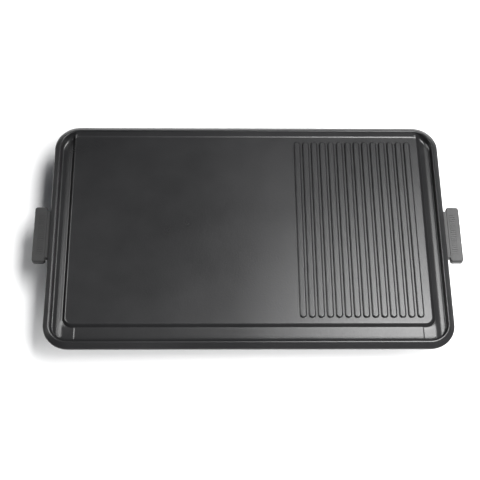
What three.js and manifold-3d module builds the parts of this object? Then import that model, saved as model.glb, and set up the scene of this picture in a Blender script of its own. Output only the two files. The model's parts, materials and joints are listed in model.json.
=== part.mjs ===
// Electric griddle: a cast non-stick plate with side troughs, a front grease channel and a ribbed
// grilling zone, which lifts straight off a low base with a sheathed heating element.
// Millimetres. +X to the right, +Y to the rear, +Z up; the table is z = 0, the plate is centred on x = y = 0.
import * as THREE from "three";
import { mergeVertices } from "three/addons/utils/BufferGeometryUtils.js";
import Module from "manifold-3d";

const wasm = await Module();
wasm.setup();

// ---------------------------------------------------------------- driving dimensions
const GAP = 0.3; // between pieces that touch
const THROUGH = 1; // how far a cutter runs past the face it opens
const CORNER_STEPS = 7; // facets in a quarter turn of a rounded rectangle
const ROUND_STEPS = 20; // facets round a turned piece

// The plate.
const RIM = { w: 570, d: 360, r: 36.5, z: 70 }; // outline of the rolled rim, and its crest
const COOK = { x: 254, front: -141.6, rear: 162.6, z: 64, r: 8 }; // the raised cooking surface
const SHELF_Z = 56; // floor of the front channel
const CHANNEL = { x: 241.8, front: -162.5 }; // the channel's flat floor
const TROUGH_Z = 54; // floor of the side troughs
const SKIRT_Z = 46; // lowest edge of the plate
const SKIN = 4.5; // thickness of the casting under its flat parts
const RIB = { count: 14, first: 75, pitch: 12.6, w: 8.6, front: -133, rear: 154.2, h: 2.8 };
const HOLLOW = { x: 248.5, front: -136.3, rear: 156, r: 12, draft: 2.5 }; // under the cooking surface
const CHANNEL_HOLLOW = { x: 234, front: -165, rear: -142, r: 4 }; // under the front channel

// The handles and the tongues that they are screwed to.
const TAB = { x0: 288.8, x1: 307.5, half: 44.3, z0: 53, z1: 62, r: 4, edge: 1.1 };
const NECK = { x0: 285.3, half: 37.7, inset: 0.5 }; // the narrower root leaves a notch at each end
const TONGUE = { x0: 276, x1: 299, half: 29, z0: 56.4, z1: 59.2, r: 3 };
const HANDLE_SCREW = { x: 293.5, y: 16, r: 1.9, head: 3.5, headH: 1.2, length: 6, recess: 1.6 };
const GRIP = { count: 19, pitch: 3.5, w: 1.5, x0: 292.5, x1: 301, h: 0.5 }; // raised bars on the tabs

// The base.
const BASE = { x: 238, y: 138, r: 26, z0: 8, z1: 57, wall: 2.5, floor: 2.8 };
const BASE_Y = 9; // the base is centred under the cooking surface, not under the rim
const POST = { x: 214, y: 114, r: 9, z: 56.2, bore: 2.1, boreDepth: 16 }; // carry the plate, take the feet
const PAD = { r: 7, h: 2.4 };
const FOOT = { r: 11, waist: 9.5, top: 10, h: 7.7, recess: 5, recessDepth: 3.4 };
const FOOT_SCREW = { r: 1.8, head: 4.6, headH: 1.7, length: 18, z: 1.4 };
const VENT = { count: 11, pitch: 30, w: 18, z0: 40, z1: 44 };
const FLOOR_VENT = { count: 7, pitch: 36, w: 6, half: 35 };

// The reflector, the heating element and its clips.
const PAN = { x: 190, y: 104, r: 20, z: 16, sheet: 0.9, lip: 24 };
const STUD = { x: 150, y: 66, r: 5, bore: 1.9 }; // bosses under the reflector
const PAN_SCREW = { r: 1.6, head: 3.6, headH: 1.7, length: 5.6 };
const ELEMENT = { r: 3.5, z: 55.6, left: -176, right: 128, front: -78, bend: 34, sides: 10, steps: 116 };
const CLIP = { half: 6, foot: 14, sheet: 1, cradle: 5, horn: 3.5, left: -100, right: 60 };

// The socket for the detachable heat control.
const SOCKET = { y: 85, z: 28, w: 50, h: 28, wall: 2.2, back: 202 };
const FLANGE = { half: 37, halfH: 17, r: 6, t: 2.2, screw: 31 };
const PIN = { dy: 12, r: 2.4, behind: 5.5, reach: 27 };
const INSULATOR = { r: 5, collar: 6.4, bore: 2.8, behind: 3, ahead: 5 };
const SOCKET_SCREW = { r: 1.4, bore: 1.8, head: 3.2, headH: 1.4, length: 7 };
const GUIDE = { r: 3.6, bore: 2.5, x0: 140 };
const PICKUP = { x: 150, y: 6, foot: 7, top: 9, stem: 4, stemY: 3, clear: 0.1 };

const CORNERS = [
  [-1, -1, "front_left"],
  [1, -1, "front_right"],
  [-1, 1, "rear_left"],
  [1, 1, "rear_right"],
];

// ---------------------------------------------------------------- joining and cutting

// The closed solid of a geometry, with its shared vertices merged.
function solid(geometry) {
  const bare = geometry.clone();
  bare.deleteAttribute("normal");
  bare.deleteAttribute("uv");
  const merged = mergeVertices(bare, 1e-3);
  const vertProperties = merged.attributes.position.array;
  const triVerts = new Uint32Array(merged.index.array);
  return new wasm.Manifold(new wasm.Mesh({ numProp: 3, vertProperties, triVerts }));
}

function geometryOf(body) {
  const { vertProperties, triVerts } = body.getMesh();
  const g = new THREE.BufferGeometry();
  g.setAttribute("position", new THREE.BufferAttribute(new Float32Array(vertProperties), 3));
  g.setIndex(new THREE.BufferAttribute(new Uint32Array(triVerts), 1));
  return g;
}

const join = (pieces) => geometryOf(pieces.map(solid).reduce((a, b) => a.add(b)));
const cut = (piece, tools) => geometryOf(tools.map(solid).reduce((a, b) => a.subtract(b), solid(piece)));

// ---------------------------------------------------------------- basic shapes

// A rectangle x by y each way from a centre.
const around = (x, y, cx = 0, cy = 0) => ({ x0: cx - x, x1: cx + x, y0: cy - y, y1: cy + y });

// The outline of a rounded rectangle at height z, anticlockwise from above, grown all round.
function outline(box, r, z, grow = 0) {
  const radius = Math.max(r + grow, 0.3);
  const [left, right] = [box.x0 - grow + radius, box.x1 + grow - radius];
  const [front, rear] = [box.y0 - grow + radius, box.y1 + grow - radius];
  const centres = [[right, rear], [left, rear], [left, front], [right, front]];
  const points = [];
  centres.forEach(([cx, cy], quarter) => {
    for (let i = 0; i <= CORNER_STEPS; i++) {
      const a = ((quarter + i / CORNER_STEPS) * Math.PI) / 2;
      points.push([cx + radius * Math.cos(a), cy + radius * Math.sin(a), z]);
    }
  });
  return points;
}

// A solid skinned over outlines stacked from the lowest to the highest.
function loft(rings) {
  const n = rings[0].length;
  const top = (rings.length - 1) * n;
  const index = [];
  for (let k = 0; k < top; k += n)
    for (let i = 0; i < n; i++) {
      const [a, b] = [k + i, k + ((i + 1) % n)];
      index.push(a, b, b + n, a, b + n, a + n);
    }
  for (let i = 1; i + 1 < n; i++) index.push(0, i + 1, i, top, top + i, top + i + 1);
  const g = new THREE.BufferGeometry();
  g.setAttribute("position", new THREE.Float32BufferAttribute(rings.flat(2), 3));
  return g.setIndex(index);
}

// One rounded rectangle skinned through height and growth pairs.
const stack = (box, r, steps) => loft(steps.map(([z, grow]) => outline(box, r, z, grow)));
const slab = (box, r, z0, z1) => stack(box, r, [[z0, 0], [z1, 0]]);

// A plain box between two corners.
function block([x0, y0, z0], [x1, y1, z1]) {
  const g = new THREE.BoxGeometry(x1 - x0, y1 - y0, z1 - z0);
  return g.translate((x0 + x1) / 2, (y0 + y1) / 2, (z0 + z1) / 2);
}

// A turned solid round the Z axis: radius and height pairs, going up.
function turned(pairs) {
  const points = [[0, pairs[0][1]], ...pairs, [0, pairs.at(-1)[1]]];
  const profile = points.map(([r, z]) => new THREE.Vector2(r, z));
  return new THREE.LatheGeometry(profile, ROUND_STEPS).rotateX(Math.PI / 2);
}

const rod = (r, z0, z1) => turned([[r, z0], [r, z1]]);
const rodAlongX = (r, x0, x1, y, z) => rod(r, x0, x1).rotateY(Math.PI / 2).translate(0, y, z);

// A section drawn in the Y-Z plane and carried along X, from -x to x.
function carriedAlongX(points, x) {
  const shape = new THREE.Shape(points.map(([y, z]) => new THREE.Vector2(y, z)));
  const g = new THREE.ExtrudeGeometry(shape, { depth: 2 * x, bevelEnabled: false });
  return g.rotateX(Math.PI / 2).rotateZ(Math.PI / 2).translate(-x, 0, 0);
}

// A screw that points up from z = 0, its slotted head at the bottom.
function screw({ r, head, headH, length }) {
  const body = turned([[head * 0.75, 0], [head, headH * 0.4], [head, headH], [r, headH], [r, length]]);
  const slot = block([-head, -0.45, -THROUGH], [head, 0.45, headH * 0.45]);
  return cut(body, [slot]);
}

// ---------------------------------------------------------------- materials
const paint = (color, roughness, metalness = 0) =>
  new THREE.MeshStandardMaterial({ color, roughness, metalness });
const COATING = paint(0x3a3a3c, 0.42, 0.1);
const PHENOLIC = paint(0x232324, 0.62);
const HOUSING = paint(0x1d1d1f, 0.6);
const BRIGHT = paint(0xb9bbbe, 0.28, 1);
const STEEL = paint(0x8d8f92, 0.4, 1);
const SHEATH = paint(0x4d4a46, 0.5, 1);
const CERAMIC = paint(0xe8e3d8, 0.5);
const RUBBER = paint(0x161616, 0.85);
const SILICONE = paint(0x5c2a22, 0.7);
const ALUMINIUM = paint(0xa9abae, 0.45, 1);

const griddle = new THREE.Group();
const plateGroup = new THREE.Group();
const baseGroup = new THREE.Group();
griddle.add(plateGroup, baseGroup);

function place(group, name, geometry, material, x = 0, y = 0, z = 0) {
  geometry.computeVertexNormals();
  const mesh = new THREE.Mesh(geometry, material);
  mesh.name = name;
  mesh.position.set(x, y, z);
  group.add(mesh);
  return mesh;
}

// ---------------------------------------------------------------- the plate
const RIM_BOX = around(RIM.w / 2, RIM.d / 2);

// The outside of the casting: a skirt that draws in, under a rim that is rolled over outwards.
function plateOutside() {
  const skirt = [[SKIRT_Z, -13], [46.6, -10], [48.6, -8], [52, -7], [57.4, -6.2]];
  const lip = [[57.9, -2.4], [58.5, -0.8], [59.6, 0], [61.2, 0], [62.4, -0.6], [68.6, -6.6], [69.6, -7.8]];
  return stack(RIM_BOX, RIM.r, [...skirt, ...lip, [RIM.z, -8.8]]);
}

// The space inside the rim down to the trough floor, with a round foot to its wall.
function panSpace() {
  const foot = [[TROUGH_Z, -13.4], [54.4, -11.9], [55.5, -10.7], [57, -10.1]];
  const crest = [[68.8, -9.9], [69.7, -9.6], [RIM.z, -9.1], [RIM.z + THROUGH, -9.1]];
  return stack(RIM_BOX, RIM.r, [...foot, ...crest]);
}

// The cooking surface: steep in front, with an S-shaped slope into each trough; it runs into the rear wall.
function plateau() {
  const steps = [
    // height, then the growth at the sides and in front
    [52, 20, 5.9], [54, 15, 5.6], [54.7, 12.5, 5.4], [56.6, 9.6, 4.9], [59, 7, 3.6],
    [61.4, 4.6, 2.2], [63.3, 2.2, 0.9], [COOK.z, -0.4, -0.3],
  ];
  const rear = COOK.rear + 4 * COOK.r;
  const rings = steps.map(([z, side, front]) => {
    const x = COOK.x + side;
    return outline({ x0: -x, x1: x, y0: COOK.front - front, y1: rear }, COOK.r + side * 0.4, z);
  });
  return loft(rings);
}

// The floor of the front grease channel, curling up into the rim.
function frontShelf() {
  const [f, z, inner, bottom] = [CHANNEL.front, SHELF_Z, COOK.front + 2, TROUGH_Z - 2];
  const section = [
    [inner, bottom], [inner, z], [f, z], [f - 2.7, z + 0.5], [f - 5.1, z + 1.8],
    [f - 6.8, z + 3.9], [f - 7.7, z + 6.8], [f - 11, z + 6.8], [f - 11, bottom],
  ];
  return carriedAlongX(section, CHANNEL.x);
}

// The round foot of the rear wall, where the cooking surface meets it.
function rearCove() {
  const [y, z, bottom] = [COOK.rear, COOK.z, SHELF_Z];
  const section = [
    [y - 2, bottom], [y + 10, bottom], [y + 10, z + 5], [y + 7.3, z + 5], [y + 3.2, z + 1.5],
    [y + 1.8, z + 0.5], [y, z], [y - 2, z],
  ];
  return carriedAlongX(section, COOK.x);
}

function grillRib(i) {
  const x = RIB.first + i * RIB.pitch;
  const box = { x0: x - RIB.w / 2, x1: x + RIB.w / 2, y0: RIB.front, y1: RIB.rear };
  const crown = COOK.z + RIB.h;
  return stack(box, RIB.w / 2 - 0.1, [[COOK.z - 0.5, 0], [COOK.z, 0], [crown - 0.6, -0.5], [crown, -1.2]]);
}

function undersideHollow({ x, front, rear, r, draft = 1 }, ceiling) {
  const box = { x0: -x, x1: x, y0: front, y1: rear };
  return stack(box, r, [[SKIRT_Z - THROUGH, 0], [SKIRT_Z + 3, 0], [ceiling, -draft]]);
}

// The tongue cast on one end of the plate, bored for the handle's screws.
function handleTongue(side) {
  const { x0, x1, half, z0, z1, r } = TONGUE;
  const { x, y } = HANDLE_SCREW;
  const bore = () => rod(HANDLE_SCREW.r + GAP, z0 - THROUGH, z1 + THROUGH);
  const bar = slab({ x0, x1, y0: -half, y1: half }, r, z0, z1);
  const tongue = cut(bar, [bore().translate(x, -y, 0), bore().translate(x, y, 0)]);
  return side > 0 ? tongue : tongue.rotateZ(Math.PI);
}

function griddlePlate() {
  const raised = join([plateau(), frontShelf(), rearCove()]);
  const basin = cut(panSpace(), [raised]);
  const hollow = undersideHollow(HOLLOW, COOK.z - SKIN);
  const channelHollow = undersideHollow(CHANNEL_HOLLOW, SHELF_Z - SKIN);
  const shell = cut(plateOutside(), [basin, hollow, channelHollow]);
  const ribs = Array.from({ length: RIB.count }, (_, i) => grillRib(i));
  return join([shell, ...ribs, handleTongue(1), handleTongue(-1)]);
}

place(plateGroup, "griddle_plate", griddlePlate(), COATING);

// ---------------------------------------------------------------- the handles

// The right-hand handle: a tab with a narrower neck, a pocket for the tongue and raised bars on top.
function handle() {
  const { x0, x1, half, z0, z1, r, edge } = TAB;
  const shape = [[z0, -edge], [z0 + edge, 0], [z1 - edge, 0], [z1, -edge]];
  const tab = stack({ x0, x1, y0: -half, y1: half }, r, shape);
  const neckBox = { x0: NECK.x0, x1: x0 + r, y0: -NECK.half, y1: NECK.half };
  const neck = slab(neckBox, NECK.inset, z0 + NECK.inset, z1 - NECK.inset);
  const bars = Array.from({ length: GRIP.count }, (_, i) => {
    const y = (i - (GRIP.count - 1) / 2) * GRIP.pitch;
    return block([GRIP.x0, y - GRIP.w / 2, z1 - THROUGH], [GRIP.x1, y + GRIP.w / 2, z1 + GRIP.h]);
  });
  const room = TONGUE.half + GAP;
  const pocketBox = { x0: NECK.x0 - r, x1: TONGUE.x1 + GAP, y0: -room, y1: room };
  const pocket = slab(pocketBox, TONGUE.r, TONGUE.z0 - GAP, TONGUE.z1 + GAP);
  const [wide, narrow] = [HANDLE_SCREW.head + GAP, HANDLE_SCREW.r + GAP];
  const step = z0 + HANDLE_SCREW.recess;
  const bore = () => turned([[wide, z0 - THROUGH], [wide, step], [narrow, step], [narrow, TONGUE.z0]]);
  const bores = [-1, 1].map((end) => bore().translate(HANDLE_SCREW.x, end * HANDLE_SCREW.y, 0));
  return cut(join([tab, neck, ...bars]), [pocket, ...bores]);
}

for (const [side, word] of [[-1, "left"], [1, "right"]]) {
  const { x, y } = HANDLE_SCREW;
  place(plateGroup, `handle_${word}`, handle(), PHENOLIC).rotation.z = side < 0 ? Math.PI : 0;
  for (const [end, where] of [[-1, "front"], [1, "rear"]]) {
    const name = `handle_screw_${word}_${where}`;
    place(plateGroup, name, screw(HANDLE_SCREW), STEEL, side * x, end * y, TAB.z0 + 0.1);
  }
}

// ---------------------------------------------------------------- the base housing
baseGroup.position.y = BASE_Y; // everything below is measured from the middle of the base
const SOCKET_Y = SOCKET.y - BASE_Y;

function airSlots() {
  const slots = [];
  for (let i = 0; i < VENT.count; i++) {
    const x = (i - (VENT.count - 1) / 2) * VENT.pitch;
    const [low, high] = [x - VENT.w / 2, x + VENT.w / 2];
    slots.push(block([low, -BASE.y - THROUGH, VENT.z0], [high, BASE.wall + THROUGH - BASE.y, VENT.z1]));
    slots.push(block([low, BASE.y - BASE.wall - THROUGH, VENT.z0], [high, BASE.y + THROUGH, VENT.z1]));
  }
  for (let i = 0; i < FLOOR_VENT.count; i++) {
    const x = (i - (FLOOR_VENT.count - 1) / 2) * FLOOR_VENT.pitch;
    const half = FLOOR_VENT.half;
    const w = FLOOR_VENT.w / 2;
    slots.push(block([x - w, -half, BASE.z0 - THROUGH], [x + w, half, BASE.z0 + BASE.floor + THROUGH]));
  }
  return slots;
}

// The opening and the two screw holes for the socket, through the right-hand wall.
function socketOpening() {
  const { z, w, h } = SOCKET;
  const [x0, x1] = [BASE.x - BASE.wall - THROUGH, BASE.x + THROUGH];
  const [y, halfH] = [w / 2 + GAP, h / 2 + GAP];
  const mouth = block([x0, SOCKET_Y - y, z - halfH], [x1, SOCKET_Y + y, z + halfH]);
  const holes = [-1, 1].map((s) => rodAlongX(SOCKET_SCREW.bore, x0, x1, SOCKET_Y + s * FLANGE.screw, z));
  return [mouth, ...holes];
}

function baseHousing() {
  const { x, y, r, z0, z1, wall, floor } = BASE;
  const box = around(x, y);
  const outside = stack(box, r, [[z0, -4], [z0 + 1, -1.6], [z0 + 4, 0], [z1, 0]]);
  const inside = stack(box, r, [[z0 + floor, -wall - 3], [z0 + floor + 3, -wall], [z1 + THROUGH, -wall]]);
  const at = (g, spot, sx, sy) => g.translate(sx * spot.x, sy * spot.y, 0);
  const studTop = PAN.z - GAP;
  const posts = CORNERS.map(([sx, sy]) => at(rod(POST.r, z0 + 1, POST.z), POST, sx, sy));
  const studs = CORNERS.map(([sx, sy]) => at(rod(STUD.r, z0 + 1, studTop), STUD, sx, sy));
  const bores = CORNERS.flatMap(([sx, sy]) => [
    at(rod(POST.bore, z0 - THROUGH, z0 + POST.boreDepth), POST, sx, sy),
    at(rod(STUD.bore, z0 + floor, studTop + THROUGH), STUD, sx, sy),
  ]);
  const tray = cut(outside, [inside]);
  return cut(join([tray, ...posts, ...studs]), [...bores, ...socketOpening(), ...airSlots()]);
}

place(baseGroup, "base_housing", baseHousing(), HOUSING);

// ---------------------------------------------------------------- feet and plate pads
function rubberFoot() {
  const { r, waist, top, h, recess, recessDepth } = FOOT;
  const bore = FOOT_SCREW.r + GAP;
  const body = turned([[waist, 0], [r, 1.5], [top, h]]);
  const steps = [[recess, -THROUGH], [recess, recessDepth], [bore, recessDepth], [bore, h + THROUGH]];
  return cut(body, [turned(steps)]);
}

for (const [sx, sy, where] of CORNERS) {
  const [x, y] = [sx * POST.x, sy * POST.y];
  const pad = turned([[PAD.r, 0], [PAD.r, PAD.h - 0.4], [PAD.r - 0.6, PAD.h]]);
  place(baseGroup, `foot_${where}`, rubberFoot(), RUBBER, x, y);
  place(baseGroup, `foot_screw_${where}`, screw(FOOT_SCREW), STEEL, x, y, FOOT_SCREW.z);
  place(baseGroup, `plate_pad_${where}`, pad, SILICONE, x, y, POST.z + GAP);
}

// ---------------------------------------------------------------- the reflector
function reflectorPan() {
  const { x, y, r, z, sheet, lip } = PAN;
  const box = around(x, y);
  const steps = [[z, -5], [z + 1.4, -2], [lip, 0]];
  const outside = stack(box, r, steps);
  const inner = [[z + sheet, -5 - sheet / 2], [z + 1.4 + sheet, -2 - sheet], [lip + THROUGH, -sheet]];
  const inside = stack(box, r, inner);
  const hole = PAN_SCREW.r + GAP;
  const holes = CORNERS.map(([sx, sy]) =>
    rod(hole, z - THROUGH, z + sheet + THROUGH).translate(sx * STUD.x, sy * STUD.y, 0),
  );
  return cut(cut(outside, [inside]), holes);
}

place(baseGroup, "reflector_pan", reflectorPan(), BRIGHT);
for (const [sx, sy, where] of CORNERS) {
  const top = PAN.z + PAN.sheet + GAP + PAN_SCREW.headH;
  const [x, y] = [sx * STUD.x, sy * STUD.y];
  place(baseGroup, `pan_screw_${where}`, screw(PAN_SCREW), STEEL, x, y, top).rotation.x = Math.PI;
}

// ---------------------------------------------------------------- the heating element

// The run of the tube: a loop under the cooking surface, whose two cold ends drop to the socket.
function elementPath() {
  const { z, left, right, bend } = ELEMENT;
  const front = ELEMENT.front - BASE_Y;
  const [rear, inner] = [SOCKET_Y + PIN.dy, SOCKET_Y - PIN.dy];
  const end = SOCKET.back - PIN.behind - 0.5;
  const low = SOCKET.z;
  const middle = (low + z) / 2;
  const path = new THREE.CurvePath();
  let last = new THREE.Vector3(end, rear, low);
  const line = (x, y, h = z) => {
    const next = new THREE.Vector3(x, y, h);
    path.add(new THREE.LineCurve3(last, next));
    last = next;
  };
  const bow = ([cx, cy, ch = z], [x, y, h = z]) => {
    const next = new THREE.Vector3(x, y, h);
    path.add(new THREE.QuadraticBezierCurve3(last, new THREE.Vector3(cx, cy, ch), next));
    last = next;
  };
  line(end - 8, rear, low);
  bow([end - 17, rear, low], [end - 26, rear, middle]);
  bow([end - 35, rear, z], [end - 46, rear]);
  line(left + bend, rear);
  bow([left, rear], [left, rear - bend]);
  line(left, front + bend);
  bow([left, front], [left + bend, front]);
  line(right - bend, front);
  bow([right, front], [right, front + bend]);
  line(right, inner - 24);
  bow([right, inner], [right + 20, inner]);
  bow([right + 33, inner], [end - 26, inner, middle]);
  bow([end - 18, inner, low], [end - 8, inner, low]);
  line(end, inner, low);
  return path;
}

function heatingElement() {
  const section = new THREE.Shape();
  for (let i = 0; i < ELEMENT.sides; i++) {
    const a = (i / ELEMENT.sides) * Math.PI * 2;
    const [x, y] = [ELEMENT.r * Math.cos(a), ELEMENT.r * Math.sin(a)];
    if (i) section.lineTo(x, y);
    else section.moveTo(x, y);
  }
  section.closePath();
  return new THREE.ExtrudeGeometry(section, { steps: ELEMENT.steps, extrudePath: elementPath() });
}

place(baseGroup, "heating_element", heatingElement(), SHEATH);

// A sheet clip: a foot on the reflector, an upright and a cradle; its foot points to the base's middle.
function elementClip() {
  const { half, foot, sheet, cradle, horn } = CLIP;
  const h = ELEMENT.z - ELEMENT.r - PAN.z - PAN.sheet - 2 * GAP;
  return join([
    block([-half, -foot, 0], [half, sheet / 2, sheet]),
    block([-half, -sheet / 2, 0], [half, sheet / 2, h]),
    block([-half, -cradle, h - sheet], [half, cradle, h]),
    block([-half, -cradle, h - sheet], [half, sheet - cradle, h + horn]),
    block([-half, cradle - sheet, h - sheet], [half, cradle, h + horn]),
  ]);
}

const CLIP_FOOT_Z = PAN.z + PAN.sheet + GAP;
for (const [x, side] of [[CLIP.left, "left"], [CLIP.right, "right"]]) {
  place(baseGroup, `element_clip_rear_${side}`, elementClip(), STEEL, x, SOCKET_Y + PIN.dy, CLIP_FOOT_Z);
  const front = ELEMENT.front - BASE_Y;
  const mesh = place(baseGroup, `element_clip_front_${side}`, elementClip(), STEEL, x, front, CLIP_FOOT_Z);
  mesh.rotation.z = Math.PI;
}

// ---------------------------------------------------------------- the socket for the heat control
const FLANGE_X = BASE.x + GAP; // back of the flange, against the wall

function probeSocket() {
  const { z, w, h, wall, back } = SOCKET;
  const [y, halfH] = [w / 2, h / 2];
  const front = FLANGE_X + FLANGE.t + THROUGH;
  const shell = block([back, SOCKET_Y - y, z - halfH], [FLANGE_X, SOCKET_Y + y, z + halfH]);
  const flange = slab(around(FLANGE.halfH, FLANGE.half), FLANGE.r, 0, FLANGE.t);
  flange.rotateY(Math.PI / 2).translate(FLANGE_X, SOCKET_Y, z);
  const room = block(
    [back + wall, SOCKET_Y - y + wall, z - halfH + wall],
    [front, SOCKET_Y + y - wall, z + halfH - wall],
  );
  const hole = (r, x0, x1, dy) => rodAlongX(r, x0, x1, SOCKET_Y + dy, z);
  const [x0, x1] = [back - THROUGH, back + wall + THROUGH];
  const holes = [
    hole(GUIDE.r + GAP, x0, x1, 0),
    hole(INSULATOR.r + GAP, x0, x1, -PIN.dy),
    hole(INSULATOR.r + GAP, x0, x1, PIN.dy),
    hole(SOCKET_SCREW.bore, FLANGE_X - THROUGH, front, -FLANGE.screw),
    hole(SOCKET_SCREW.bore, FLANGE_X - THROUGH, front, FLANGE.screw),
  ];
  return cut(join([shell, flange]), [room, ...holes]);
}

place(baseGroup, "probe_socket", probeSocket(), PHENOLIC);

// A ceramic bush whose collar seats behind the socket's back wall.
function insulator() {
  const { r, collar, bore, behind, ahead } = INSULATOR;
  const body = join([rodAlongX(r, -behind, ahead, 0, 0), rodAlongX(collar, -behind, -GAP, 0, 0)]);
  return cut(body, [rodAlongX(bore, -behind - THROUGH, ahead + THROUGH, 0, 0)]);
}

for (const [side, where] of [[-1, "front"], [1, "rear"]]) {
  const y = SOCKET_Y + side * PIN.dy;
  const { back, z } = SOCKET;
  const face = FLANGE_X + FLANGE.t + GAP + SOCKET_SCREW.headH;
  place(baseGroup, `terminal_insulator_${where}`, insulator(), CERAMIC, back, y, z);
  const pin = rodAlongX(PIN.r, -PIN.behind, PIN.reach, 0, 0);
  place(baseGroup, `terminal_pin_${where}`, pin, STEEL, back, y, z);
  const fixing = place(baseGroup, `socket_screw_${where}`, screw(SOCKET_SCREW), STEEL);
  fixing.position.set(face, SOCKET_Y + side * FLANGE.screw, z);
  fixing.rotation.y = -Math.PI / 2;
}

// The closed tube that takes the control's sensing rod.
function probeGuide() {
  const { r, bore, x0 } = GUIDE;
  const x1 = SOCKET.back + THROUGH;
  return cut(rodAlongX(r, x0, x1, SOCKET_Y, SOCKET.z), [rodAlongX(bore, x0 + 2, x1 + 2, SOCKET_Y, SOCKET.z)]);
}

// The block that clasps the tube and carries the plate's heat down to it.
function heatPickup() {
  const { y, foot, top, stem, stemY } = PICKUP;
  const z1 = COOK.z - SKIN - GAP - PICKUP.clear;
  const clamp = block([-foot, -y, SOCKET.z - y], [foot, y, SOCKET.z + top]);
  const column = block([-stem, -stemY, SOCKET.z + top - THROUGH], [stem, stemY, z1 - THROUGH]);
  const head = block([-foot - 2, -y - 1, z1 - 3], [foot + 2, y + 1, z1]);
  const clasp = rodAlongX(GUIDE.r + GAP, -foot - THROUGH, foot + THROUGH, 0, SOCKET.z);
  return cut(join([clamp, column, head]), [clasp]);
}

place(baseGroup, "probe_guide", probeGuide(), STEEL);
place(baseGroup, "heat_pickup", heatPickup(), ALUMINIUM, PICKUP.x, SOCKET_Y);

export default griddle;
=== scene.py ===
import json
import math
import bpy
import bmesh
from mathutils import Matrix, Vector


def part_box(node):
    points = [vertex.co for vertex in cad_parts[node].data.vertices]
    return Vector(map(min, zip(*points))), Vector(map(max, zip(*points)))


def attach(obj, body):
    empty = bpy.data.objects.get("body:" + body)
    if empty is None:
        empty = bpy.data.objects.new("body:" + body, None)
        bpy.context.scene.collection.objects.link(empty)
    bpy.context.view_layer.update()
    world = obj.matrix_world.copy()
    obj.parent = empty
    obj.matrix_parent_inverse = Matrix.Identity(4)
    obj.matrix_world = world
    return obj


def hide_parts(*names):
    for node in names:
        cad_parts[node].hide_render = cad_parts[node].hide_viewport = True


# Electric griddle. Lengths in the tables below are millimetres, as in the CAD source, in the same frame:
# +X to the right, +Y to the rear, +Z up, the table at z = 0.
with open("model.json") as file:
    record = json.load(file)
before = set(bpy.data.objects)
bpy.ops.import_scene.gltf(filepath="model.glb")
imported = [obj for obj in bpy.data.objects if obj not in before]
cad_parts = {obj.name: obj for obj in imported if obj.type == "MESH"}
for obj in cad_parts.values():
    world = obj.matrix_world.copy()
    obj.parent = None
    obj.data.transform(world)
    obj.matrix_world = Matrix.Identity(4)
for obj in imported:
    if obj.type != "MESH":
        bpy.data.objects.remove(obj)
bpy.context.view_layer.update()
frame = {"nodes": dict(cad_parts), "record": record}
MM = 0.001


def corners(node):
    """Lowest and highest corner of a CAD node, in millimetres."""
    low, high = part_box(node)
    return low / MM, high / MM


# ---------------------------------------------------------------- sizes
PLATE_HIGH = corners("griddle_plate")[1]
RIM_X, RIM_Y, RIM_Z = 285.0, PLATE_HIGH.y, PLATE_HIGH.z
RIM_R = 36.5
COOK_X, COOK_FRONT, COOK_REAR, COOK_Z, COOK_R = 254.0, -140.6, 162.6, 64.0, 9.0
CHANNEL_X = 241.8  # end of the front channel, from the middle
SHELF_Z, LANDING_Z, TROUGH_Z = 59.2, 58.4, 56.2
BANK_TOP, BANK_FOOT = 259.6, 267.0  # the sloping bank between landing and trough
CHANNEL_STEP = 0.5  # down from the channel to the landing at each of its ends
RIB_COUNT, RIB_FIRST, RIB_PITCH, RIB_W = 14, 75.0, 12.6, 8.6
RIB_FRONT, RIB_REAR = -133.0, 154.2

# ---------------------------------------------------------------- outlines and skins
FRONT_STEPS = [i / 14 * 0.92 for i in range(15)] + [0.92 + 0.08 * (i + 1) / 32 for i in range(31)]
FRONT_STEPS = [-v for v in reversed(FRONT_STEPS[1:])] + FRONT_STEPS
SIDE_STEPS = [-1 + 2 * (i + 1) / 44 for i in range(43)]
ARC_STEPS = 18


def outline(x0, x1, y0, y1, r, along=FRONT_STEPS, across=SIDE_STEPS, arc=ARC_STEPS):
    """Points of a rounded rectangle, anticlockwise from the front end of its right side."""
    left, right, front, rear = x0 + r, x1 - r, y0 + r, y1 - r
    cx, hx = (left + right) / 2, (right - left) / 2
    cy, hy = (front + rear) / 2, (rear - front) / 2
    sides = [
        [(x1, cy + hy * s) for s in across],
        [(cx - hx * s, y1) for s in along],
        [(x0, cy - hy * s) for s in across],
        [(cx + hx * s, y0) for s in along],
    ]
    centres = [(right, rear), (left, rear), (left, front), (right, front)]
    points = []
    for quarter, (side, (ax, ay)) in enumerate(zip(sides, centres)):
        points += side
        for i in range(arc + 1):
            a = math.pi / 2 * (quarter + i / arc)
            points.append((ax + r * math.cos(a), ay + r * math.sin(a)))
    return points


def rounded(box, r, grow=0.0, **steps):
    x0, x1, y0, y1 = box
    return outline(x0 - grow, x1 + grow, y0 - grow, y1 + grow, max(r + grow, 0.05), **steps)


def lift(points, z):
    return [(x, y, z) for x, y in points]


def skin(bm, rings, top=True, bottom=True):
    """Quads between neighbouring rings, given from the bottom or outside, with the two ends closed."""
    rows = [[bm.verts.new(Vector(p) * MM) for p in ring] for ring in rings]
    n = len(rows[0])
    for low, high in zip(rows, rows[1:]):
        for i in range(n):
            j = (i + 1) % n
            bm.faces.new((low[i], low[j], high[j], high[i]))
    if bottom:
        bm.faces.new(rows[0][::-1])
    if top:
        bm.faces.new(rows[-1])
    return rows


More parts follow.
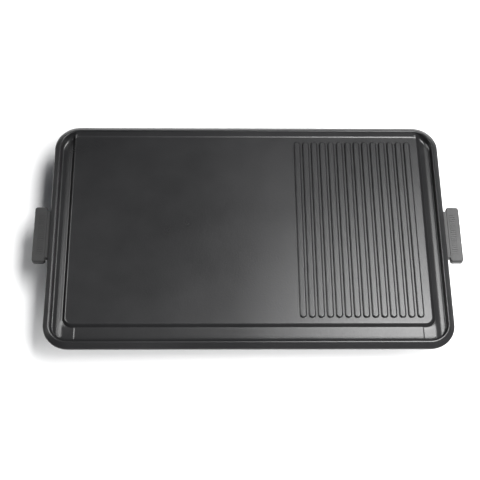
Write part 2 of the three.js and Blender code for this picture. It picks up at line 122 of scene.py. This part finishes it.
def finish_mesh(name, bm, smooth=True, angle=50):
    """Turns a bmesh into an object whose edges sharper than the angle stay crisp."""
    bmesh.ops.recalc_face_normals(bm, faces=bm.faces)
    mesh = bpy.data.meshes.new(name)
    bm.to_mesh(mesh)
    bm.free()
    for polygon in mesh.polygons:
        polygon.use_smooth = smooth
    if smooth and angle:
        mesh.set_sharp_from_angle(angle=math.radians(angle))
    piece = bpy.data.objects.new(name, mesh)
    bpy.context.scene.collection.objects.link(piece)
    return piece


# ---------------------------------------------------------------- materials
def node_material(name):
    mat = bpy.data.materials.new(name)
    mat.use_nodes = True
    nodes, links = mat.node_tree.nodes, mat.node_tree.links
    shader = nodes["Principled BSDF"]
    coords = nodes.new("ShaderNodeTexCoord").outputs["Object"]
    return mat, nodes, links, shader, coords


def noise(nodes, links, coords, scale, detail=3.0, roughness=0.55):
    node = nodes.new("ShaderNodeTexNoise")
    node.inputs["Scale"].default_value = scale
    node.inputs["Detail"].default_value = detail
    node.inputs["Roughness"].default_value = roughness
    links.new(coords, node.inputs["Vector"])
    return node.outputs["Fac"]


def remap(nodes, links, value, low, high, to_low, to_high):
    node = nodes.new("ShaderNodeMapRange")
    for key, number in (("From Min", low), ("From Max", high), ("To Min", to_low), ("To Max", to_high)):
        node.inputs[key].default_value = number
    links.new(value, node.inputs["Value"])
    return node.outputs["Result"]


def blend_colours(nodes, links, value, stops):
    ramp = nodes.new("ShaderNodeValToRGB")
    elements = ramp.color_ramp.elements
    while len(elements) < len(stops):
        elements.new(0.5)
    for element, (place, grey) in zip(elements, stops):
        element.position = place
        element.color = (*grey, 1)
    links.new(value, ramp.inputs["Fac"])
    return ramp.outputs["Color"]


def add_bump(nodes, links, shader, layers):
    """Chains bump nodes: each layer is a height socket, a strength and a depth in millimetres."""
    normal = None
    for height, strength, depth in layers:
        node = nodes.new("ShaderNodeBump")
        node.inputs["Strength"].default_value = strength
        node.inputs["Distance"].default_value = depth * MM
        links.new(height, node.inputs["Height"])
        if normal:
            links.new(normal, node.inputs["Normal"])
        normal = node.outputs["Normal"]
    links.new(normal, shader.inputs["Normal"])


def coating():
    """Semi-gloss charcoal non-stick coating: a fine speckle, orange-peel bumps and slightly uneven gloss."""
    mat, nodes, links, shader, coords = node_material("coating")
    cloud = noise(nodes, links, coords, 9.0, 4.0)
    speck = noise(nodes, links, coords, 900.0, 2.0, 0.7)
    peel = noise(nodes, links, coords, 430.0, 2.0)
    mixed = nodes.new("ShaderNodeMath")
    mixed.operation = "MULTIPLY_ADD"
    mixed.inputs[1].default_value = 0.45
    links.new(speck, mixed.inputs[0])
    links.new(cloud, mixed.inputs[2])
    colour = blend_colours(nodes, links, mixed.outputs[0],
                           [(0.45, (0.0080, 0.0080, 0.0084)), (0.95, (0.0125, 0.0125, 0.0130))])
    links.new(colour, shader.inputs["Base Color"])
    links.new(remap(nodes, links, cloud, 0.3, 0.7, 0.27, 0.31), shader.inputs["Roughness"])
    shader.inputs["Specular IOR Level"].default_value = 0.5
    add_bump(nodes, links, shader, [(peel, 0.5, 0.16), (speck, 0.35, 0.05)])
    return mat


def surface(name, dark, light, rough, metal=0.0, grain=900.0, bump=(0.5, 0.06), stretch=(1, 1, 1), wear=None):
    """A mottled surface with cloudy colour, uneven gloss, a fine grain and, if asked, worn patches."""
    mat, nodes, links, shader, coords = node_material(name)
    cloud = noise(nodes, links, coords, 26.0, 5.0)
    mapping = nodes.new("ShaderNodeMapping")
    mapping.inputs["Scale"].default_value = stretch
    links.new(coords, mapping.inputs["Vector"])
    fine = noise(nodes, links, mapping.outputs["Vector"], grain, 3.0, 0.6)
    mixed = nodes.new("ShaderNodeMath")
    mixed.operation = "MULTIPLY_ADD"
    mixed.inputs[1].default_value = 0.4
    links.new(fine, mixed.inputs[0])
    links.new(cloud, mixed.inputs[2])
    stops = [(0.45, dark), (0.95, light)]
    if wear:
        stops.insert(0, (0.30, wear))
    links.new(blend_colours(nodes, links, mixed.outputs[0], stops), shader.inputs["Base Color"])
    links.new(remap(nodes, links, mixed.outputs[0], 0.45, 0.95, rough + 0.06, rough - 0.06),
              shader.inputs["Roughness"])
    shader.inputs["Metallic"].default_value = metal
    add_bump(nodes, links, shader, [(cloud, 0.2, 0.1), (fine, *bump)])
    return mat


def grey(value, tint=(1, 1, 1)):
    return tuple(value * t for t in tint)


WARM, COOL = (1.0, 0.95, 0.88), (0.96, 0.98, 1.0)
MATERIALS = {
    "coating": coating(),
    "phenolic": surface("phenolic", grey(0.010), grey(0.019), 0.42, grain=700.0, bump=(0.7, 0.10)),
    "housing": surface("housing", grey(0.012), grey(0.020), 0.46, grain=1100.0, bump=(0.5, 0.05)),
    "reflector": surface("reflector", grey(0.50, COOL), grey(0.66, COOL), 0.34, 1.0, 300.0, (0.25, 0.04),
                         (1, 26, 26), grey(0.36, WARM)),
    "sheath": surface("sheath", grey(0.075, WARM), grey(0.14, COOL), 0.46, 1.0, 700.0, (0.4, 0.04),
                      wear=(0.10, 0.065, 0.045)),
    "steel": surface("steel", grey(0.46, COOL), grey(0.62, COOL), 0.30, 1.0, 900.0, (0.25, 0.02),
                     (1, 1, 9), grey(0.34, WARM)),
    "aluminium_block": surface("aluminium_block", grey(0.50), grey(0.64), 0.48, 1.0, 500.0, (0.6, 0.08)),
    "ceramic": surface("ceramic", grey(0.62, WARM), grey(0.78, WARM), 0.62, grain=800.0, bump=(0.5, 0.06)),
    "rubber": surface("rubber", grey(0.012), grey(0.022), 0.74, grain=1300.0, bump=(0.5, 0.05)),
    "silicone": surface("silicone", (0.20, 0.045, 0.028), (0.28, 0.065, 0.04), 0.56, grain=600.0,
                        bump=(0.3, 0.04)),
}


def dress(node, slot):
    """Gives a carried-over CAD node the procedural material of its slot; its mesh stays as it is."""
    piece = frame["nodes"][node]
    for holder in piece.material_slots:
        holder.material = MATERIALS[slot]


for row in frame["record"]["subparts"]:
    dress(row["node"], row["material_slot"])

# ---------------------------------------------------------------- the plate
RIM_BOX = (-RIM_X, RIM_X, -RIM_Y, RIM_Y)
WALL_INSET = 9.9  # of the rim's inner wall, from the outline


def smooth_step(value, low, high):
    t = min(max((value - low) / (high - low), 0.0), 1.0)
    return t * t * (3 - 2 * t)


def smooth_max(a, b, k):
    """The higher of two heights, with a fillet of about k where they cross."""
    h = min(max(0.5 + 0.5 * (a - b) / k, 0.0), 1.0)
    return b + (a - b) * h + k * h * (1 - h)


SIDE_RUN, FRONT_RUN = 6.4, 6.2
SIDE_CURVE = [(0.0, 0.0), (0.1, 0.018), (0.2, 0.07), (0.3, 0.155), (0.42, 0.31), (0.56, 0.54),
              (0.7, 0.77), (0.84, 0.935), (1.0, 1.0)]


def curve(points, t):
    """A value between tabulated points, eased by a cubic."""
    if t <= points[0][0]:
        return points[0][1]
    for i in range(1, len(points)):
        if t <= points[i][0]:
            (x0, y0), (x1, y1) = points[i - 1], points[i]
            before = points[i - 2] if i > 1 else points[i - 1]
            after = points[i + 1] if i + 1 < len(points) else points[i]
            m0 = (y1 - before[1]) / max(x1 - before[0], 1e-9)
            m1 = (after[1] - y0) / max(after[0] - x0, 1e-9)
            h = x1 - x0
            s = (t - x0) / h
            a = (2 * s + 1) * (1 - s) ** 2 * y0 + s * (1 - s) ** 2 * h * m0
            return a + s * s * (3 - 2 * s) * y1 + s * s * (s - 1) * h * m1
    return points[-1][1]


def slope_height(x, y):
    """Height of the raised cooking surface's flank: it falls to the sides and in front, not behind."""
    dx, dy = abs(x) - (COOK_X - COOK_R), (COOK_FRONT + COOK_R) - y
    reach = math.hypot(max(dx, 0), max(dy, 0))
    away = reach - COOK_R
    if away <= 0:
        return COOK_Z
    c, s = max(dx, 0) / reach, max(dy, 0) / reach
    run = 1 / math.hypot(c / SIDE_RUN, s / FRONT_RUN)
    beyond = max(away / run - 1.0, 0.0)  # past its foot the flank dives out of the floor's way
    return COOK_Z - (COOK_Z - LANDING_Z) * (curve(SIDE_CURVE, away / run) + beyond)


WALL_TOP = 68.0  # highest that the floor may reach at the wall's foot
REAR_RUN = 3.4  # how far the cooking surface runs on into the rear wall
SIDE_COVE, END_COVE = 3.0, 8.0  # radius of the wall's foot in the side troughs and at their ends
RAMP_REACH, RAMP_EASE, RAMP_SLOPE = 7.2, 2.6, 0.82  # the sloping wall behind the cooking surface


def wall_rise(x, y):
    """How far the floor has risen towards the wall at a point inside the rim."""
    gap = wall_gap(x, y)
    dx, dy = max(abs(x) - (RIM_X - RIM_R), 0.0), max(abs(y) - (RIM_Y - RIM_R), 0.0)
    end = dy * dy / max(dx * dx + dy * dy, 1e-6)
    radius = SIDE_COVE + (END_COVE - SIDE_COVE) * end
    into = min(max(radius - gap, 0.0), radius * 0.99)
    cove = radius - math.sqrt(radius * radius - into * into)
    if y < 0 or abs(x) > COOK_X + 1:
        return cove
    into = max(RAMP_REACH - gap, 0.0)
    ramp = RAMP_SLOPE * (into * into / (2 * RAMP_EASE) if into < RAMP_EASE else into - RAMP_EASE / 2)
    return cove + (ramp - cove) * (1 - smooth_step(abs(x), COOK_X - 0.5, COOK_X + 1))


def wall_gap(x, y):
    """Distance from a point inside the rim to the rim's inner wall."""
    r = RIM_R - WALL_INSET
    dx, dy = abs(x) - (RIM_X - RIM_R), abs(y) - (RIM_Y - RIM_R)
    if dx > 0 and dy > 0:
        return r - math.hypot(dx, dy)
    return r - max(dx, dy)


def floor_height(x, y):
    """Height of the pan's floor: a bank falls to each trough, and a channel in front falls to the bank."""
    share = min(max((abs(x) - BANK_TOP) / (BANK_FOOT - BANK_TOP), 0.0), 1.0)
    side = LANDING_Z + (TROUGH_Z - LANDING_Z) * share
    if y > 0 or abs(x) > BANK_TOP:
        return side
    fall = min(max((abs(x) - CHANNEL_X) / (BANK_TOP - CHANNEL_X), 0.0), 1.0)
    step = CHANNEL_STEP * smooth_step(abs(x), CHANNEL_X - 0.6, CHANNEL_X + 0.6)
    return SHELF_Z - step - (SHELF_Z - CHANNEL_STEP - LANDING_Z) * fall


def pan_height(x, y):
    return smooth_max(slope_height(x, y), floor_height(x, y), 1.0) + wall_rise(x, y)


def flank_outline(share, extra=0.0):
    """Outline of the raised surface grown by a share of its slopes, ending in the rear wall's foot."""
    side, front, rear = SIDE_RUN * share + extra, FRONT_RUN * share + extra, REAR_RUN * share + extra
    r = COOK_R + (side + front) / 2
    return outline(-COOK_X - side, COOK_X + side, COOK_FRONT - front, COOK_REAR + rear, max(r, 0.5))


def between(a, b, t):
    return [(p[0] + (q[0] - p[0]) * t, p[1] + (q[1] - p[1]) * t) for p, q in zip(a, b)]


def pan_rings():
    """Rings from the crest of the rim down its inner wall, over the floor and up to the flat top."""
    foot = [min(pan_height(x, y), WALL_TOP) for x, y in rounded(RIM_BOX, RIM_R, -WALL_INSET - 0.15)]
    rings = [lift(rounded(RIM_BOX, RIM_R, grow), z) for grow, z in CREST_IN]
    top = CREST_IN[-1][1]
    for t in (0.25, 0.5, 0.75, 0.95):
        inset = -WALL_INSET + 0.3 * (1 - t)
        ring = rounded(RIM_BOX, RIM_R, inset)
        rings.append([(x, y, top + (z - top) * t) for (x, y), z in zip(ring, foot)])
    flank = flank_outline(1.02)
    near = [0.12, 0.35, 0.7, 1.1, 1.6, 2.2, 2.9, 3.7]
    bands = [rounded(RIM_BOX, RIM_R, -WALL_INSET - d) for d in near]
    last = bands[-1]
    bands += [between(last, flank, t) for t in (0.1, 0.25, 0.4, 0.55, 0.7, 0.85, 1.0)]
    bands += [flank_outline(1.02 - 0.98 * i / 22) for i in range(1, 23)]
    bands.append(flank_outline(0.018))
    for band in bands:
        rings.append([(x, y, pan_height(x, y)) for x, y in band])
    rings.append(lift(flank_outline(0, -0.2), COOK_Z))
    rings.append(lift(flank_outline(0, -1.0), COOK_Z))
    return rings


def arc_profile(cx, cz, r, start, stop, steps):
    """(grow, z) pairs along an arc; angles in degrees from straight out, turning up."""
    pairs = []
    for i in range(steps + 1):
        a = math.radians(start + (stop - start) * i / steps)
        pairs.append((cx + r * math.cos(a), cz + r * math.sin(a)))
    return pairs


ROLL = arc_profile(-3.0, 62.6, 3.0, -45, 57, 10) + arc_profile(-8.9, RIM_Z - 3.2, 3.2, 57, 90, 6)
CREST_IN = arc_profile(-8.9, RIM_Z - 1.0, 1.0, 115, 180, 5)
LIP = [(-6.2, 58.8), (-5.8, 59.4), (-4.8, 59.7), (-2.4, 59.75)]
SKIRT_INSET = 18.0  # of the skirt's inner edge, from the outline
SKIRT = [(-SKIRT_INSET, 46.0), (-13.0, 46.05), (-10.4, 46.5), (-8.8, 47.4), (-7.9, 48.8), (-7.3, 50.6),
         (-6.8, 53.0), (-6.4, 56.0)]


SKIN = 4.5  # thickness of the casting under its cooking surface
SKIRT_Z, CHANNEL_UNDER_Z = 46.0, 51.5  # underside at the skirt, and under the front channel
HOLLOW_X, HOLLOW_FRONT, HOLLOW_REAR, HOLLOW_R = 249.5, -137.2, 157.0, 12.0  # of the hollow's walls
CHANNEL_UNDER_X = (233.0, 237.0)  # where the space under the channel begins to close, and has closed


def under_height(x, y):
    """Height of the plate's underside, inside the skirt."""
    reach_x, front, rear, r = HOLLOW_X, HOLLOW_FRONT, HOLLOW_REAR, HOLLOW_R
    dx, dy = abs(x) - (reach_x - r), max(y - (rear - r), (front + r) - y)
    away = math.hypot(max(dx, 0), max(dy, 0)) - r if dx > 0 and dy > 0 else max(dx, dy) - r
    plate_under = COOK_Z - SKIN
    shelf = 1 - smooth_step(abs(x), *CHANNEL_UNDER_X)
    gap = wall_gap(x, y)
    shelf *= smooth_step(gap, 1.0, 4.5) if y < 0 else 0.0
    low = SKIRT_Z + (CHANNEL_UNDER_Z - SKIRT_Z) * shelf
    return plate_under + (low - plate_under) * smooth_step(away, -1.5, 3.0)


def under_rings():
    """Rings over the underside, from the middle of the hollow out to the skirt."""
    hollow = outline(-246, 246, -133.7, 153.5, 10)
    skirt = rounded(RIM_BOX, RIM_R, -SKIRT_INSET)
    middle = outline(-244, 244, -131.7, 151.5, 10)
    rings = [lift(middle, COOK_Z - SKIN), lift(hollow, COOK_Z - SKIN)]
    for i in range(1, 21):
        band = between(hollow, skirt, i / 20)
        rings.append([(x, y, under_height(x, y)) for x, y in band])
    return rings


def add_ribs(bm):
    along = [-1 + 2 * (i + 1) / 8 for i in range(7)]
    profile = [(0.95, -0.5), (0.95, 0.02), (0.6, 0.12), (0.3, 0.32), (0.12, 0.62), (0.02, 1.0), (-0.08, 1.7),
               (-0.25, 2.15), (-0.55, 2.5), (-0.95, 2.72), (-1.45, 2.8), (-1.8, 2.8)]
    for i in range(RIB_COUNT):
        x = RIB_FIRST + i * RIB_PITCH
        box = (x - RIB_W / 2, x + RIB_W / 2, RIB_FRONT, RIB_REAR)
        rings = [lift(rounded(box, RIB_W / 2 - 0.05, grow, along=[0.0], across=along, arc=9), COOK_Z + z)
                 for grow, z in profile]
        skin(bm, rings)


def griddle_plate():
    bm = bmesh.new()
    rings = under_rings()
    rings += [lift(rounded(RIM_BOX, RIM_R, grow), z) for grow, z in SKIRT + LIP + ROLL]
    rings += pan_rings()
    skin(bm, rings)
    add_ribs(bm)
    return finish_mesh("plate_casting", bm, angle=60)


plate = griddle_plate()
plate.data.materials.append(MATERIALS["coating"])
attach(plate, "plate")
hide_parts("griddle_plate")


# ---------------------------------------------------------------- stage, lights and camera
def floor():
    bm = bmesh.new()
    bmesh.ops.create_grid(bm, x_segments=1, y_segments=1, size=6.0)
    piece = finish_mesh("studio_floor", bm, smooth=False)
    mat = bpy.data.materials.new("studio_floor")
    mat.use_nodes = True
    shader = mat.node_tree.nodes["Principled BSDF"]
    shader.inputs["Base Color"].default_value = (0.86, 0.86, 0.86, 1)
    shader.inputs["Roughness"].default_value = 0.9
    shader.inputs["Specular IOR Level"].default_value = 0.1
    piece.data.materials.append(mat)


def softbox(name, place, target, size, radiance, size_y=None, mirrored=True, diffuse=True):
    """An area light of a given radiance; it can be kept out of reflections or be seen only there."""
    data = bpy.data.lights.new(name, "AREA")
    data.shape = "RECTANGLE"
    data.size, data.size_y = size, size_y or size
    data.energy = radiance * data.size * data.size_y * math.pi
    lamp = bpy.data.objects.new(name, data)
    lamp.location = place
    lamp.rotation_euler = (Vector(target) - Vector(place)).to_track_quat("-Z", "Y").to_euler()
    lamp.visible_glossy = mirrored
    lamp.visible_diffuse = diffuse
    bpy.context.scene.collection.objects.link(lamp)


floor()
softbox("top_panel", (0.66, 0.05, 1.8), (0.66, 0.05, 0), 0.76, 17.5, 1.6)
softbox("left_panel", (-1.42, 0.32, 1.25), (-0.1, 0.0, 0.05), 1.0, 9.0, 1.1, diffuse=False)
softbox("key_right_front", (1.5, -0.9, 1.35), (0, 0, 0.05), 1.0, 12.0, mirrored=False)
softbox("front_fill", (0.3, -1.9, 1.1), (0, -0.2, 0.0), 1.4, 10.0, 0.9, mirrored=False)

world = bpy.data.worlds.new("studio")
world.use_nodes = True
world.node_tree.nodes["Background"].inputs["Color"].default_value = (0.9, 0.93, 1.0, 1)
world.node_tree.nodes["Background"].inputs["Strength"].default_value = 0.09
bpy.context.scene.world = world

ELEVATION, YAW, ROLL_ANGLE = math.radians(61.85), math.radians(2.66), math.radians(2.36)
TARGET, DISTANCE, FOCAL_PIXELS, FRAME_PIXELS = Vector((-0.0118, -0.01414, 0.070)), 1.75859, 1232.69, 480


def camera():
    """The photograph's view: from in front and above, a little to the left, with a slight roll."""
    forward = Vector((math.sin(YAW) * math.cos(ELEVATION), math.cos(YAW) * math.cos(ELEVATION),
                      -math.sin(ELEVATION)))
    right = Vector((math.cos(YAW), -math.sin(YAW), 0))
    up = right.cross(forward)
    c, s = math.cos(ROLL_ANGLE), math.sin(ROLL_ANGLE)
    right, up = right * c + up * s, up * c - right * s
    data = bpy.data.cameras.new("camera")
    data.sensor_width = 36.0
    data.lens = FOCAL_PIXELS / FRAME_PIXELS * data.sensor_width
    view = bpy.data.objects.new("camera", data)
    turn = Matrix((right, up, -forward)).transposed().to_4x4()
    view.matrix_world = Matrix.Translation(TARGET - forward * DISTANCE) @ turn
    bpy.context.scene.collection.objects.link(view)
    bpy.context.scene.camera = view


camera()
bpy.context.scene.view_settings.view_transform = "Standard"
